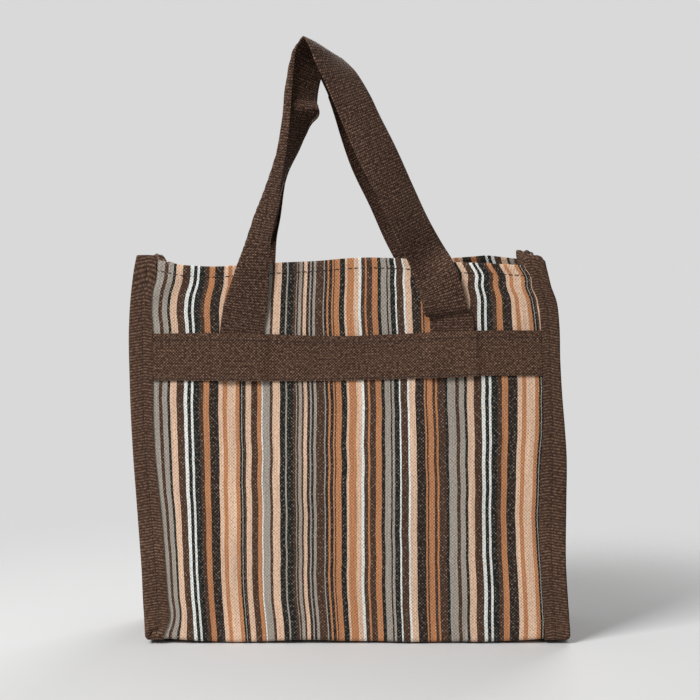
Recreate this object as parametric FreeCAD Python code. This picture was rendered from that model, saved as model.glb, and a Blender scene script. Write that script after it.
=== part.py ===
import FreeCAD, Part
import math
import os

# An open-topped shopping tote, free-standing.  Two striped cloth panels and a striped base are
# joined by brown canvas gussets, whose margins lap onto the panels as side strips.  A webbing band
# crosses each face and holds down the tails of a webbing handle, which folds about the band's edge.
#
# Frame: origin on the floor under the middle of the bag, +Z up, front face towards -Y, millimetres.

# Bag body
BODY_WIDTH = 406.0          # over the gussets' corners
BODY_HEIGHT = 356.0         # floor to the front and back rims
BASE_DEPTH = 124.0          # between the outer faces of the two panels, at the floor
MOUTH_DRAW = 16.0           # how much nearer they are at the rims: the handles draw the mouth together
PANEL_CLOTH = 1.2           # striped cloth with its backing
CANVAS = 1.2                # gusset canvas
STRIP_WIDTH = 22.0          # gusset margin that laps onto a panel
GUSSET_RISE = 6.0           # gusset above the panels' rims
PLEAT_START = 12.0          # height at which the gusset starts to fold in
PLEAT_STEPS = 7             # steps that the folding wall is drawn in, up to its hem

# Bands and handles
BAND_DROP = 65.0            # from the rim down to the band's top edge
BAND_HEIGHT = 44.0
BAND_CLOTH = 1.0
STRAP_WIDTH = 40.0
STRAP = 1.8                 # webbing thickness
STRAP_SPREAD = 196.0        # between the middles of a handle's two legs, at the band
TAIL_INSET = 4.0            # tail's end above the band's lower edge
HOOD_SLOPE = 4.0            # run over which the band steps up onto a tail
HANDLE_RISE = 272.0         # fold line to the middle of the webbing at the top of the loop
LOOP_SHIFT = -33.0          # top of the loop, to the side of the bag's middle
HOOK_RADIUS = 7.0           # the turn of the webbing over a hook or a hand
LOOP_YAW = 45.0             # degrees between the loop's width, at its top, and the bag's width
LEG_BOW = 4.5               # pull on the curve that bows a leg off the panel, below the rim
LEG_STEPS = 10              # sections in each leg
TURN_STEPS = 6              # sections in the turn at the top

# Turned hems, seam bindings and sewing thread
RIM_HEM = 22.0              # depth of cloth turned in at the rims
HEM_CLOTH = 1.0
BINDING_WIDTH = 12.0
BINDING_CLOTH = 0.8
THREAD = 0.4                # how far thread stands on the cloth
THREAD_WIDTH = 0.6
RIM_STITCH_DROP = 9.0       # stitch line below a rim
STRIP_STITCH_INSET = 9.0    # stitch line from a side strip's inner edge
BAND_TOP_STITCH = 6.5       # stitch line below the band's top edge
BAND_LOW_STITCH = 2.0       # stitch line above the band's bottom edge
STRIP_STITCH_START = 2.0    # side strip's stitch line above the floor

# Clearances
LAYER_GAP = 0.2             # between plies that are sewn together
THREAD_GAP = 0.1            # under a line of thread
BODY_GAP = 0.3              # between the bag and anything that moves
FOLD_CLEARANCE = 1.3        # from the webbing's outer face to the line it folds about
FOLD_ABOVE_BAND = 0.6       # that line above the band's top edge

HALF_WIDTH = BODY_WIDTH / 2
STRIP_EDGE = HALF_WIDTH - STRIP_WIDTH
GUSSET_TOP = BODY_HEIGHT + GUSSET_RISE
LEAN = MOUTH_DRAW / 2 / BODY_HEIGHT
BAND_TOP = BODY_HEIGHT - BAND_DROP
FOLD_Z = BAND_TOP + FOLD_ABOVE_BAND


def vec(x, y, z):
    return FreeCAD.Vector(x, y, z)


def half_depth(z):
    """Distance from the middle plane to a panel's outer face at a height."""
    return BASE_DEPTH / 2 - LEAN * z


def standing(outline, z_low, z_high):
    """Cloth of the front face: a plan outline of (x, distance proud of the face), leaning with it."""
    base_y = -half_depth(z_low)
    points = [vec(x, base_y - proud, z_low) for x, proud in outline]
    face = Part.Face(Part.makePolygon(points + points[:1]))
    rise = z_high - z_low
    return face.extrude(vec(0, LEAN * rise, rise))


def slab(x_low, x_high, proud_low, proud_high, z_low, z_high):
    outline = [(x_low, proud_low), (x_high, proud_low), (x_high, proud_high), (x_low, proud_high)]
    return standing(outline, z_low, z_high)


def to_back(shape):
    return shape.mirror(vec(0, 0, 0), vec(0, 1, 0))


def to_left(shape):
    return shape.mirror(vec(0, 0, 0), vec(1, 0, 0))


def box(x_low, x_high, y_low, y_high, z_low, z_high):
    return Part.makeBox(x_high - x_low, y_high - y_low, z_high - z_low, vec(x_low, y_low, z_low))


def skin(rings):
    """A closed solid through flat outlines with equal numbers of points, each side ruled to the next."""
    faces = [Part.Face(Part.makePolygon(ring + ring[:1])) for ring in (rings[0], rings[-1])]
    count = len(rings[0])
    for low, high in zip(rings, rings[1:]):
        for i in range(count):
            j = (i + 1) % count
            low_edge = Part.makeLine(low[i], low[j])
            high_edge = Part.makeLine(high[i], high[j])
            faces.append(Part.makeRuledSurface(low_edge, high_edge))
    shell = Part.makeShell(faces)
    shell.sewShape()
    solid = Part.makeSolid(shell)
    if solid.Volume < 0:
        solid.reverse()
    return solid


def offset_path(path, distance):
    """A plan path moved to its left by a distance, with mitred corners."""
    moved = []
    for i, (x, y) in enumerate(path):
        before = path[max(i - 1, 0)]
        after = path[min(i + 1, len(path) - 1)]
        normals = []
        for (x0, y0), (x1, y1) in ((before, (x, y)), ((x, y), after)):
            run = math.hypot(x1 - x0, y1 - y0)
            if run > 0:
                normals.append((-(y1 - y0) / run, (x1 - x0) / run))
        nx = sum(n[0] for n in normals) / len(normals)
        ny = sum(n[1] for n in normals) / len(normals)
        scale = distance / (nx * nx + ny * ny)
        moved.append((x + nx * scale, y + ny * scale))
    return moved


# Panels, base and gussets

def panel_half_width():
    """A panel's edge clears the gusset, whose wall runs inwards from the corner towards the pleat."""
    wall_slope = pleat_depth(BODY_HEIGHT) / half_depth(BODY_HEIGHT)
    wall_run = CANVAS * math.hypot(1, wall_slope)
    plies = LAYER_GAP + CANVAS + PANEL_CLOTH
    return HALF_WIDTH - wall_run - plies * wall_slope - LAYER_GAP


def front_panel():
    half = panel_half_width()
    return slab(-half, half, -PANEL_CLOTH, 0, 0, BODY_HEIGHT)


def base_panel():
    half_x = HALF_WIDTH - CANVAS - LAYER_GAP
    half_y = BASE_DEPTH / 2 - PANEL_CLOTH - LAYER_GAP
    return box(-half_x, half_x, -half_y, half_y, 0, PANEL_CLOTH)


def pleat_depth(z):
    """How far the gusset's middle folds in: above the base its cloth is equally deep at every height."""
    return math.sqrt(max(half_depth(PLEAT_START) ** 2 - half_depth(z) ** 2, 0))


def gusset_path(z):
    """Plan of the right gusset's outer face: front strip, corner, pleat, corner, back strip."""
    outer = half_depth(z) + LAYER_GAP + CANVAS
    fold = HALF_WIDTH - pleat_depth(z)
    return [(STRIP_EDGE, -outer), (HALF_WIDTH, -outer), (fold, 0), (HALF_WIDTH, outer), (STRIP_EDGE, outer)]


def right_gusset():
    hem_z = GUSSET_TOP - RIM_HEM
    folding = [PLEAT_START + (hem_z - PLEAT_START) * step / PLEAT_STEPS for step in range(PLEAT_STEPS + 1)]
    rings = []
    for z in [0] + folding + [GUSSET_TOP]:
        outside = gusset_path(z)
        inside = offset_path(outside, CANVAS)
        rings.append([vec(x, y, z) for x, y in outside + inside[::-1]])
    return skin(rings)


# Bands, and the handle tails under them

def band_path(proud):
    """Plan of the band's inner face, as (x, distance proud of the panel), stepping over both tails."""
    end = STRIP_EDGE - LAYER_GAP
    low = LAYER_GAP + proud
    high = BODY_GAP + STRAP + LAYER_GAP + proud
    path = [(-end, low)]
    for middle in (-STRAP_SPREAD / 2, STRAP_SPREAD / 2):
        hood = STRAP_WIDTH / 2 + LAYER_GAP
        path += [(middle - hood - HOOD_SLOPE, low), (middle - hood, high)]
        path += [(middle + hood, high), (middle + hood + HOOD_SLOPE, low)]
    return path + [(end, low)]


def on_band(proud_low, proud_high, z_low, z_high):
    return standing(band_path(proud_low) + band_path(proud_high)[::-1], z_low, z_high)


def front_band():
    return on_band(0, BAND_CLOTH, BAND_TOP - BAND_HEIGHT, BAND_TOP)


def front_handle_tails():
    z_low = BAND_TOP - BAND_HEIGHT + TAIL_INSET
    tails = []
    for middle in (-STRAP_SPREAD / 2, STRAP_SPREAD / 2):
        x_low = middle - STRAP_WIDTH / 2
        tails.append(slab(x_low, x_low + STRAP_WIDTH, BODY_GAP, BODY_GAP + STRAP, z_low, FOLD_Z - BODY_GAP))
    return Part.makeCompound(tails)


# Handles

def fold_line_y():
    """The front handle's fold line, far enough forward for the folded loop to clear the band."""
    return -(half_depth(FOLD_Z) + BODY_GAP + STRAP + FOLD_CLEARANCE)


def bezier(points, t):
    weights = ((1 - t) ** 3, 3 * t * (1 - t) ** 2, 3 * t * t * (1 - t), t ** 3)
    total = vec(0, 0, 0)
    for weight, point in zip(weights, points):
        total += point * weight
    return total


def bezier_direction(points, t):
    weights = ((1 - t) ** 2, 2 * t * (1 - t), t * t)
    total = vec(0, 0, 0)
    for weight, start, end in zip(weights, points, points[1:]):
        total += (end - start) * weight
    return total.normalize()


def width_direction(degrees, along):
    """The webbing's width: level and at this angle from the bag's width, then squared to its run."""
    level = vec(math.cos(math.radians(degrees)), math.sin(math.radians(degrees)), 0)
    return (level - along * level.dot(along)).normalize()


def webbing_section(middle, across, along):
    thick = across.cross(along).normalize() * (STRAP / 2)
    half = across * (STRAP_WIDTH / 2)
    return [middle - half - thick, middle + half - thick, middle + half + thick, middle - half + thick]


def leg_curve(foot_x, top, lean_in):
    """A leg from the band up to the turn: it lies on the panel to the rim, then leans in to the top."""
    foot_y = -(half_depth(FOLD_Z) + BODY_GAP + STRAP / 2)
    rise = top.z - FOLD_Z
    foot = vec(foot_x, foot_y, FOLD_Z)
    low = vec(foot_x + (top.x - foot_x) * lean_in, foot_y - LEG_BOW, FOLD_Z + rise * 0.2)
    high = top - vec((top.x - foot_x) * 0.4, 0, rise * 0.36)
    high.y = foot_y + (top.y - foot_y) * 0.2
    return [foot, low, high, top]


def loop_front():
    """The loop's top in front of the middle plane, so that the two handles only just clear there."""
    yaw = math.radians(LOOP_YAW)
    half_width = STRAP_WIDTH / 2 * math.sin(yaw)
    half_turn = (HOOK_RADIUS + STRAP / 2) * math.cos(yaw)
    return half_width + half_turn + BODY_GAP


def leg_sections(curve, foot_angle):
    """Sections up a leg.  The webbing lies flat on the panel up to the rim and twists above it."""
    sections = []
    twist_start = GUSSET_TOP
    for step in range(LEG_STEPS):
        t = step / LEG_STEPS
        middle = bezier(curve, t)
        share = max(middle.z - twist_start, 0) / (curve[-1].z - twist_start)
        turn = math.sin(math.pi / 2 * share)
        degrees = foot_angle + (LOOP_YAW - foot_angle) * turn
        sections.append((middle, degrees, bezier_direction(curve, t)))
    return sections


def handle_stations():
    """Sections of the front handle from its left foot to its right: (middle, angle, direction)."""
    yaw = math.radians(LOOP_YAW)
    over = vec(math.sin(yaw), -math.cos(yaw), 0)
    crown = vec(LOOP_SHIFT, -loop_front(), FOLD_Z + HANDLE_RISE - HOOK_RADIUS)
    left = leg_curve(-STRAP_SPREAD / 2, crown - over * HOOK_RADIUS, 0.1)
    right = leg_curve(STRAP_SPREAD / 2, crown + over * HOOK_RADIUS, 0.12)
    stations = leg_sections(left, 180)
    for step in range(TURN_STEPS + 1):
        angle = math.pi * step / TURN_STEPS
        middle = crown - over * (HOOK_RADIUS * math.cos(angle)) + vec(0, 0, HOOK_RADIUS * math.sin(angle))
        along = over * math.sin(angle) + vec(0, 0, math.cos(angle))
        stations.append((middle, LOOP_YAW, along))
    for middle, degrees, along in leg_sections(right, 0)[::-1]:
        stations.append((middle, degrees, along * -1))
    return stations


def front_handle():
    stations = handle_stations()
    upright = vec(0, LEAN, 1).normalize()
    rings = []
    for i, (middle, degrees, along) in enumerate(stations):
        if i == 0:
            along = upright
        if i == len(stations) - 1:
            along = upright * -1
        rings.append(webbing_section(middle, width_direction(degrees, along), along))
    for ring in (rings[0], rings[-1]):
        for point in ring:
            point.z = FOLD_Z
    return skin(rings)


# Turned hems

def front_rim_hem():
    inner = PANEL_CLOTH + LAYER_GAP
    half = panel_half_width() - (LAYER_GAP + HEM_CLOTH)
    return slab(-half, half, -inner - HEM_CLOTH, -inner, BODY_HEIGHT - RIM_HEM, BODY_HEIGHT)


def right_rim_hem():
    """Canvas turned in along the top of the pleated gusset wall, between the panels' own hems."""
    rings = []
    for z in (GUSSET_TOP - RIM_HEM, GUSSET_TOP):
        corner_a, fold, corner_b = gusset_path(z)[1:4]
        wall = [corner_a, fold, corner_b]
        near = offset_path(wall, CANVAS + LAYER_GAP)
        far = offset_path(wall, CANVAS + LAYER_GAP + HEM_CLOTH)
        stop = half_depth(z) - PANEL_CLOTH - 2 * LAYER_GAP - 2 * HEM_CLOTH
        ring = [cut_at(far, -stop), far[1], cut_at(far, stop)]
        ring += [cut_at(near, stop), near[1], cut_at(near, -stop)]
        rings.append([vec(x, y, z) for x, y in ring])
    return skin(rings)


def cut_at(path, y):
    """The point at this depth on a path of two straight runs that meet in the middle plane."""
    end = path[0] if y < 0 else path[2]
    share = (y - path[1][1]) / (end[1] - path[1][1])
    return (path[1][0] + (end[0] - path[1][0]) * share, y)


# Seam bindings

def front_right_binding():
    """Tape over the raw edges of a corner seam, on the panel's inner face, from the base to the hem."""
    inner = PANEL_CLOTH + LAYER_GAP
    edge = panel_half_width() - (LAYER_GAP + BINDING_CLOTH)
    z_low = PANEL_CLOTH + 2 * LAYER_GAP + BINDING_CLOTH
    z_high = BODY_HEIGHT - RIM_HEM - LAYER_GAP
    return slab(edge - BINDING_WIDTH, edge, -inner - BINDING_CLOTH, -inner, z_low, z_high)


def base_binding():
    """Four strips of tape on the base, along its seams."""
    half_x = panel_half_width()
    half_y = BASE_DEPTH / 2 - PANEL_CLOTH - 2 * LAYER_GAP - BINDING_CLOTH
    z_low = PANEL_CLOTH + LAYER_GAP
    z_high = z_low + BINDING_CLOTH
    long_strip = box(-half_x, half_x, -half_y, -half_y + BINDING_WIDTH, z_low, z_high)
    end_y = half_y - BINDING_WIDTH - LAYER_GAP
    end_strip = box(half_x - BINDING_WIDTH, half_x, -end_y, end_y, z_low, z_high)
    return Part.makeCompound([long_strip, to_back(long_strip), end_strip, to_left(end_strip)])


# Sewing thread

def rim_thread():
    z = BODY_HEIGHT - RIM_STITCH_DROP
    end = STRIP_EDGE - LAYER_GAP
    line = slab(-end, end, THREAD_GAP, THREAD_GAP + THREAD, z, z + THREAD_WIDTH)
    return Part.makeCompound([line, to_back(line)])


def band_thread():
    lines = []
    for z in (BAND_TOP - BAND_TOP_STITCH, BAND_TOP - BAND_HEIGHT + BAND_LOW_STITCH):
        low = BAND_CLOTH + THREAD_GAP
        line = on_band(low, low + THREAD, z, z + THREAD_WIDTH)
        lines += [line, to_back(line)]
    return Part.makeCompound(lines)


def strip_thread():
    x = STRIP_EDGE + STRIP_STITCH_INSET
    low = LAYER_GAP + CANVAS + THREAD_GAP
    line = slab(x, x + THREAD_WIDTH, low, low + THREAD, STRIP_STITCH_START, GUSSET_TOP)
    left = to_left(line)
    return Part.makeCompound([line, left, to_back(line), to_back(left)])


def build():
    nodes = {
        "front_panel": front_panel(),
        "base_panel": base_panel(),
        "right_gusset": right_gusset(),
        "front_band": front_band(),
        "front_handle_tails": front_handle_tails(),
        "front_handle": front_handle(),
        "front_rim_hem": front_rim_hem(),
        "right_rim_hem": right_rim_hem(),
        "front_right_binding": front_right_binding(),
        "base_binding": base_binding(),
        "rim_thread": rim_thread(),
        "band_thread": band_thread(),
        "strip_thread": strip_thread(),
    }
    for name in ("panel", "band", "handle_tails", "handle", "rim_hem"):
        nodes["back_" + name] = to_back(nodes["front_" + name])
    for name in ("gusset", "rim_hem"):
        nodes["left_" + name] = to_left(nodes["right_" + name])
    nodes["front_left_binding"] = to_left(nodes["front_right_binding"])
    nodes["back_right_binding"] = to_back(nodes["front_right_binding"])
    nodes["back_left_binding"] = to_back(nodes["front_left_binding"])
    return nodes


os.makedirs("parts", exist_ok=True)
for node, shape in build().items():
    box_mm = shape.BoundBox
    print(f"{node:22s} {len(shape.Solids)} solids {shape.isValid()} {shape.Volume / 1000:8.2f} cm3  "
          f"x {box_mm.XMin:7.1f} {box_mm.XMax:7.1f}  y {box_mm.YMin:7.1f} {box_mm.YMax:7.1f}  "
          f"z {box_mm.ZMin:6.1f} {box_mm.ZMax:6.1f}")
    shape.exportStep(f"parts/{node}.step")
print(f"fold line of the front handle: y {fold_line_y():.3f}  z {FOLD_Z:.3f}")
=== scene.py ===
# %% [markdown]
# # A striped shopping tote
# This lesson builds the looks of an open cloth tote around its engineering model. The model has
# already settled how big everything is and which pieces move, so Blender only has to say what the
# cloth, webbing and thread look like.

# %% Load the engineering model
import math

import bpy
import numpy as np
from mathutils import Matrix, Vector


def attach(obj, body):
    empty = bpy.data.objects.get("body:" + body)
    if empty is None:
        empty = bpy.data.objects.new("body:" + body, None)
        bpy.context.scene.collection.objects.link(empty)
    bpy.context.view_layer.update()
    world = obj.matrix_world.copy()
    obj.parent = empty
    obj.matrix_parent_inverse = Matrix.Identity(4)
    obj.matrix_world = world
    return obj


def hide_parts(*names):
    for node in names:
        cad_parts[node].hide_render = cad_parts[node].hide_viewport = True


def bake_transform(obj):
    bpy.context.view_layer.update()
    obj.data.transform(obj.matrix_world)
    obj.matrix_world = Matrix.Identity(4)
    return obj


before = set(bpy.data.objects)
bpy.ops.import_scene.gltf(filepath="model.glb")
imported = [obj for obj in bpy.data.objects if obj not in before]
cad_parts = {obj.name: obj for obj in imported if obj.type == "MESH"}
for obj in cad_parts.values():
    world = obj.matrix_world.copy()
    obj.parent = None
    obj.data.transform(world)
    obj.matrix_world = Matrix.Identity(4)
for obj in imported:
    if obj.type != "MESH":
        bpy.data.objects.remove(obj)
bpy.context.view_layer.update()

# %% [markdown]
# The bag is cut and sewn from flat cloth, so it is easiest to think about as a pattern cutter does:
# first as straight, upright pieces, then as the soft thing they become.  These are the sizes of the
# straight bag, in millimetres, the same as in the engineering model.

# %% Sizes of the straight bag
MM = 0.001
HALF_WIDTH, HALF_DEPTH, HEIGHT = 203.0, 62.0, 356.0
LEAN = 8.0 / HEIGHT  # each face leans in by 8 mm over its height
STRIP_EDGE = 181.0   # where a gusset's strip begins, from the middle of the face
GUSSET_TOP = 362.0
BAND_LOW, BAND_HIGH = 247.0, 291.0
STRAP_MIDDLE, STRAP_WIDTH, STRAP = 98.0, 40.0, 1.8
FOLD_Z, FOLD_PROUD = 291.6, 3.4  # the handles' fold line: its height, and how far out from the face
CLOTH, CANVAS, BAND_CLOTH, TAPE = 1.2, 1.2, 1.0, 0.8  # thicknesses
PLY_GAP = 0.2        # between sewn plies
EDGE_CENTRE = 5.4    # height of the centre that the bottom edge rolls about
HEM, TURN = 22.0, 0.65  # depth of a hem, and the radius that it turns over with
print(f"bag {2 * HALF_WIDTH:.0f} wide, {HEIGHT:.0f} high, {2 * HALF_DEPTH:.0f} deep")


def half_depth(z):
    """How far a face of the straight bag stands from the middle at a height."""
    return HALF_DEPTH - LEAN * z


# %% [markdown]
# A soft bag never stands straight.  Its sides bow, the rim waves, the mouth is pulled in on one side and the
# faces swell.  A shape key or a lattice could bend it, but each piece would need its own.  Here one function,
# `settle`, bends the whole of space, and every layer but the handles goes through it, so plies that lie on
# each other stay on each other.  It is built from two small tools: `smooth` fades from 0 to 1, and `follow`
# draws a curve through a few knots, as a boat builder bends a batten round pins.

# %% Fades and curves
def smooth(t):
    """0 below 0, 1 above 1, and an easy fade between."""
    t = np.clip(t, 0.0, 1.0)
    return t * t * (3 - 2 * t)


def follow(knots, at):
    """A smooth curve through (place, value) knots, read at each place."""
    place = np.array([k[0] for k in knots], float)
    value = np.array([k[1] for k in knots], float)
    slope = np.gradient(value, place)
    at = np.asarray(at, float)
    i = np.clip(np.searchsorted(place, at) - 1, 0, len(place) - 2)
    run = place[i + 1] - place[i]
    t = np.clip((at - place[i]) / run, 0.0, 1.0)
    start = value[i] * (1 + 2 * t) * (1 - t) ** 2 + slope[i] * run * t * (1 - t) ** 2
    end = value[i + 1] * t * t * (3 - 2 * t) + slope[i + 1] * run * t * t * (t - 1)
    return start + end


print("between knots 4 and 6 a curve passes", follow([(0, 4), (10, 6)], 5.0))

# %% [markdown]
# The edges and seams are curves up the bag, with knots of (height, place across).  The rims, the band
# and the bottom edge are curves along it, with knots of (place across, lift).

# %% Edges, seams and rims
LEFT_EDGE = [(0, -191.2), (40, -193.9), (70, -195.2), (100, -197.3), (134, -199.7), (190, -203.4),
             (245, -205.6), (300, -206.0), (330, -203.4), (345, -201.4), (362, -197.8)]
LEFT_SEAM = [(0, -174.5), (7, -173.5), (13, -171), (20, -168.9), (45, -170.2), (90, -173.3),
             (120, -175.5), (150, -178.6), (180, -181.4), (209, -182.7), (298, -183), (314, -184.1),
             (328, -182.8), (339, -179.8), (350, -178.9), (362, -178)]
RIGHT_SEAM = [(0, 182.2), (49, 179.8), (86, 177.3), (105, 176.2), (124, 176), (142, 176.8),
              (172, 178), (198, 179.4), (247, 178.6), (291, 176.8), (310, 175.3), (324, 173),
              (335, 168.5), (347, 166.8), (355, 161.5), (362, 160)]
RIGHT_EDGE = [(0, 206.6), (40, 204.3), (70, 202.5), (130, 202.6), (176, 202.5), (200, 200.5),
              (228, 197.9), (260, 195.9), (298, 194.8), (322, 191.9), (335, 187.7), (362, 181.5)]
FRONT_RIM = [(-203, 3), (-182, 2.1), (-176, 0.4), (-167, -1.5), (-157, -3.3), (-148, -4), (-119, -4.6),
             (-108, -3.7), (-60, -0.9), (-23, 0.9), (-5, 2.6), (23, 3.7), (49, 3), (107, -0.5),
             (148, -1.9), (171, -3.2), (203, -3.5)]
BACK_RIM = [(-203, -2), (-182, -1.9), (-174, -4.2), (-160, -6.1), (-148, -6.9), (-119, -6.9), (-60, -3.2),
            (-23, -1.4), (0, 0.3), (49, 0.8), (85, -0.5), (104, 1.2), (133, 3.2), (145, 4.2), (157, 3),
            (181, 0.5), (203, 0)]
BAND_TOP = [(-181, -1.1), (-120, -0.5), (-76, -1.4), (-28, -3.1), (-4, -3.3), (47, -1.4), (100, 1.3),
            (124, 1.9), (181, 1.9)]
BAND_FOOT = [(-181, -0.7), (-4, -0.6), (47, 0.7), (100, 2.6), (124, 3.7), (181, 3.9)]
BOTTOM = [(-203, 2.6), (-172, 2.4), (-160, 1.4), (-138, 0.1), (-82, 0.1), (-60, 1.3), (-37, 1.4),
          (-14, 0.7), (30, 0.1), (110, 0), (143, 0.3), (165, 1.4), (178, 2.4), (203, 2.4)]
print(f"the left edge bows out by {LEFT_EDGE[0][1] - follow(LEFT_EDGE, 280):.0f} mm")

# %% [markdown]
# Handling leaves soft folds in the faces, and a handle's pull leaves a sharper one beside its foot.
# Each is a ridge along a line, so its depth only depends on the distance from that line.  The last four
# curl the lower left corner.

# %% Soft folds
# From one point to another on the face, how wide, and how far out (+) or in (-).
FOLDS = [
    ((146, 356), (176, 316), 7, -2.4),
    ((128, 352), (160, 300), 9, 1.4),
    ((-30, 290), (6, 258), 6, 0.8),
    ((-20, 292), (14, 262), 4, -0.6),
    ((-184, 322), (-150, 356), 10, 1.4),
    ((-152, 12), (-148, 190), 16, 1.6),
    ((-128, 8), (-122, 120), 12, -1.2),
    ((-60, 10), (-52, 150), 20, 1.2),
    ((58, 8), (64, 200), 26, 1.5),
    ((24, 10), (20, 120), 16, -1.0),
    ((120, 10), (112, 170), 20, 1.4),
    ((150, 60), (158, 230), 14, -1.2),
    ((80, 302), (108, 304), 9, -2.3),
    ((-196.5, 0), (-195.5, 8), 2.6, -1.8),
    ((-195.5, 8), (-187, 12.5), 2.6, -1.6),
    ((-191, 3), (-186, 5), 5, 1.2),
    ((-200.5, 3), (-200, 12), 5, 0.7),
]


def fold_depth(x, z):
    """How far the soft folds push a face out at a place."""
    depth = np.zeros(np.shape(x))
    for (x0, z0), (x1, z1), width, out in FOLDS:
        run_x, run_z = x1 - x0, z1 - z0
        t = np.clip(((x - x0) * run_x + (z - z0) * run_z) / (run_x ** 2 + run_z ** 2), 0, 1)
        away = (x - x0 - t * run_x) ** 2 + (z - z0 - t * run_z) ** 2
        depth = depth + out * np.exp(-away / (2 * (width / 2) ** 2))
    return depth


print(f"{len(FOLDS)} folds; under the right handle they move the face {fold_depth(94.0, 303.0):.1f} mm")

# %% [markdown]
# From left to right, a panel hangs evenly between its seams.  What pulls at a seam is lost further in,
# and near the floor the whole cloth is pushed to the right, most on its left side.  The strips fill
# what is left between a seam and the bag's edge.

# %% The settled bag from left to right
LEFT_HANG, RIGHT_HANG = -183.0, 178.6  # the seams, where nothing pulls at them
SEAM_REACH = 40.0  # a seam's bow dies out over this distance
FLOOR_PUSH = 4.2
CALM_LOW, CALM_HIGH = 22.0, 291.0  # outside these heights the floor and the rim pull at the seams


def seam_line(knots, level):
    """A seam's place: its general run, and its extra movement near the rim and near the floor."""
    general = follow(knots, np.clip(level, CALM_LOW, CALM_HIGH))
    rim = follow(knots, np.maximum(level, CALM_HIGH)) - follow(knots, CALM_HIGH)
    foot = follow(knots, np.minimum(level, CALM_LOW)) - follow(knots, CALM_LOW)
    return general, rim, foot


def settled_across(x, y, z):
    level = np.clip(z, 0, GUSSET_TOP)
    left, left_rim, left_foot = seam_line(LEFT_SEAM, level)
    right, right_rim, right_foot = seam_line(RIGHT_SEAM, level)
    inside_left, inside_right = STRIP_EDGE + x, STRIP_EDGE - x
    push = FLOOR_PUSH * (1 - smooth(level / 70))
    across = LEFT_HANG + inside_left / (2 * STRIP_EDGE) * (RIGHT_HANG - LEFT_HANG)
    across = across + (left - LEFT_HANG - push) * np.exp(-np.abs(inside_left) / SEAM_REACH)
    across = across + (right - RIGHT_HANG - 0.45 * push) * np.exp(-np.abs(inside_right) / SEAM_REACH)
    across = across + push * (1 - 0.55 * smooth((x + 90) / 130))
    across = across + left_rim * (1 - smooth(inside_left / 175)) + left_foot * (1 - smooth(inside_left / 34))
    # The right side of the mouth is pulled in, and more at the front than at the back.
    right_rim = right_rim * (1 - 0.55 * smooth((y + 52) / 40))
    across = across + right_rim * (1 - smooth((inside_right - 40) / 150))
    across = across + right_foot * (1 - smooth(inside_right / 34))
    strip = HALF_WIDTH - STRIP_EDGE
    left, right = left + left_rim + left_foot, right + right_rim + right_foot
    on_left = left + (x + STRIP_EDGE) / strip * (left - follow(LEFT_EDGE, level))
    on_right = right + (x - STRIP_EDGE) / strip * (follow(RIGHT_EDGE, level) - right)
    return np.where(x < -STRIP_EDGE, on_left, np.where(x > STRIP_EDGE, on_right, across))


print("at half height the left seam settles to", settled_across(-STRIP_EDGE, -58.0, 178.0).round(1))

# %% [markdown]
# Only the faces' rims, band and bottom edge wave up and down; the walls between them keep their height.
# From front to back the faces swell at a hand's height, the middle of the mouth is drawn in by the
# handles, and the folds stand out on both faces.

# %% The settled bag up and down, front and back
def settled_lift(x, y, z):
    face = smooth((np.abs(y) - 40) / 14)
    top, low, high = smooth((z - 292) / 56), smooth((z - 4) / 40), smooth((z - 250) / 38)
    middle = smooth((z - 120) / 110) * (1 - top)
    behind = smooth((y + 30) / 60)
    rim = (1 - behind) * follow(FRONT_RIM, x) + behind * follow(BACK_RIM, x)
    band = high * follow(BAND_TOP, x) + (1 - high) * follow(BAND_FOOT, x)
    return face * (top * rim + middle * band + (1 - low) * follow(BOTTOM, x))


def settled_depth(x, y, z):
    belly = smooth(z / 90) * (1 - smooth((z - 120) / 120)) * np.cos(np.clip(x / 205, -1, 1) * math.pi / 2)
    mouth = smooth((z - 300) / 56) * np.exp(-((x + 5) / 55) ** 2)
    outward = smooth((y - 15) / 30) - smooth((-y - 15) / 30)
    return y * (1 + 0.085 * belly - 0.03 * mouth) + fold_depth(x, z) * outward


def settle(x, y, z):
    """Points of the straight bag, in millimetres, moved to where the soft bag has them."""
    x, y, z = np.broadcast_arrays(x, y, np.asarray(z, float))
    return np.stack([settled_across(x, y, z), settled_depth(x, y, z), z + settled_lift(x, y, z)], -1)


corners = settle(np.array([-HALF_WIDTH, HALF_WIDTH]), -58.0, 178.0)
print(f"at half height the face settles to {np.ptp(corners[:, 0]):.0f} mm wide")

# %% [markdown]
# A sheet is laid out row by row, so these small helpers come first.  A piece's object is always put at
# the origin, and its modifiers end as plain mesh.

# %% Grids and objects
def steps(start, end, spacing):
    """Even steps from start to end, about this far apart."""
    count = max(2, int(round(abs(end - start) / spacing)) + 1)
    return np.linspace(start, end, count)


def unit(vectors):
    """The same directions, one long."""
    return vectors / np.linalg.norm(vectors, axis=-1, keepdims=True)


def along(points):
    """Distance along a line of points."""
    run = np.linalg.norm(np.diff(np.asarray(points, float), axis=0), axis=1)
    return np.concatenate([[0.0], np.cumsum(run)])


def put(name, data):
    """An object in the scene, at the origin."""
    piece = bpy.data.objects.new(name, data)
    bpy.context.scene.collection.objects.link(piece)
    return piece


def apply_modifiers(piece):
    """Turn the piece's modifiers into plain mesh."""
    graph = bpy.context.evaluated_depsgraph_get()
    made = bpy.data.meshes.new_from_object(piece.evaluated_get(graph), depsgraph=graph)
    piece.modifiers.clear()
    old, piece.data = piece.data, made
    bpy.data.meshes.remove(old)
    made.name = piece.name
    return made


print("10 mm in steps of about 3:", steps(0, 10, 3.0).round(2))

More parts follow.
